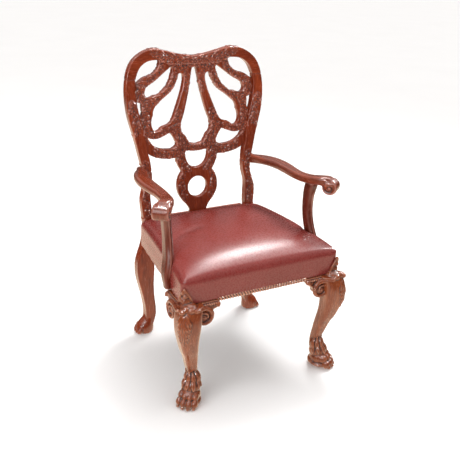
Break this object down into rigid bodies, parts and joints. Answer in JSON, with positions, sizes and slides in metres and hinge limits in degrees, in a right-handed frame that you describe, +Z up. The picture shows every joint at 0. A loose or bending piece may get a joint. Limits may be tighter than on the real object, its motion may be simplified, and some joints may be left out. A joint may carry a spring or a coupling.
{
  "type": "open armchair",
  "caption": "Carved wooden open armchair with a pierced ribbon back, scrolled arms, cabriole legs with paw feet and a stuffed leather seat.",
  "frame": {"origin": "on the floor under the middle of the chair's bounding box", "axes": "+Z up, the chair faces -Y, X across the chair, symmetric about the YZ plane"},
  "size_m": [0.6902, 0.6341, 1.0481],
  "materials": {
    "polished_mahogany": "french polished, semi gloss",
    "frame_timber": "bare planed beech",
    "steel": "plain wood screws",
    "tack_steel": "blued cut tacks",
    "jute_webbing": "woven jute",
    "hessian": "coarse hessian",
    "stuffing": "curled hair under calico",
    "seat_leather": "smooth burgundy hide, soft sheen",
    "black_calico": "plain dust cover cloth"
  },
  "bodies": {
    "root": {"front_leg_left": "polished_mahogany", "front_leg_right": "polished_mahogany", "rear_leg_stile_left": "polished_mahogany", "rear_leg_stile_right": "polished_mahogany", "crest_rail": "polished_mahogany", "back_splat": "polished_mahogany", "splat_shoe": "polished_mahogany", "front_knee_block_left": "polished_mahogany", "front_knee_block_right": "polished_mahogany", "side_knee_block_left": "polished_mahogany", "side_knee_block_right": "polished_mahogany", "arm_left": "polished_mahogany", "arm_right": "polished_mahogany", "arm_support_left": "polished_mahogany", "arm_support_right": "polished_mahogany", "gadroon_moulding": "polished_mahogany", "front_seat_rail": "frame_timber", "rear_seat_rail": "frame_timber", "side_seat_rail_left": "frame_timber", "side_seat_rail_right": "frame_timber", "front_corner_block_left": "frame_timber", "front_corner_block_right": "frame_timber", "rear_corner_block_left": "frame_timber", "rear_corner_block_right": "frame_timber", "corner_block_screws": "steel", "arm_support_screws": "steel", "arm_screws": "steel", "upholstery_tacks": "tack_steel", "lengthwise_webbing": "jute_webbing", "crosswise_webbing": "jute_webbing", "seat_hessian": "hessian", "seat_stuffing": "stuffing", "leather_cover": "seat_leather", "dust_cover": "black_calico"}
  },
  "joints": []
}
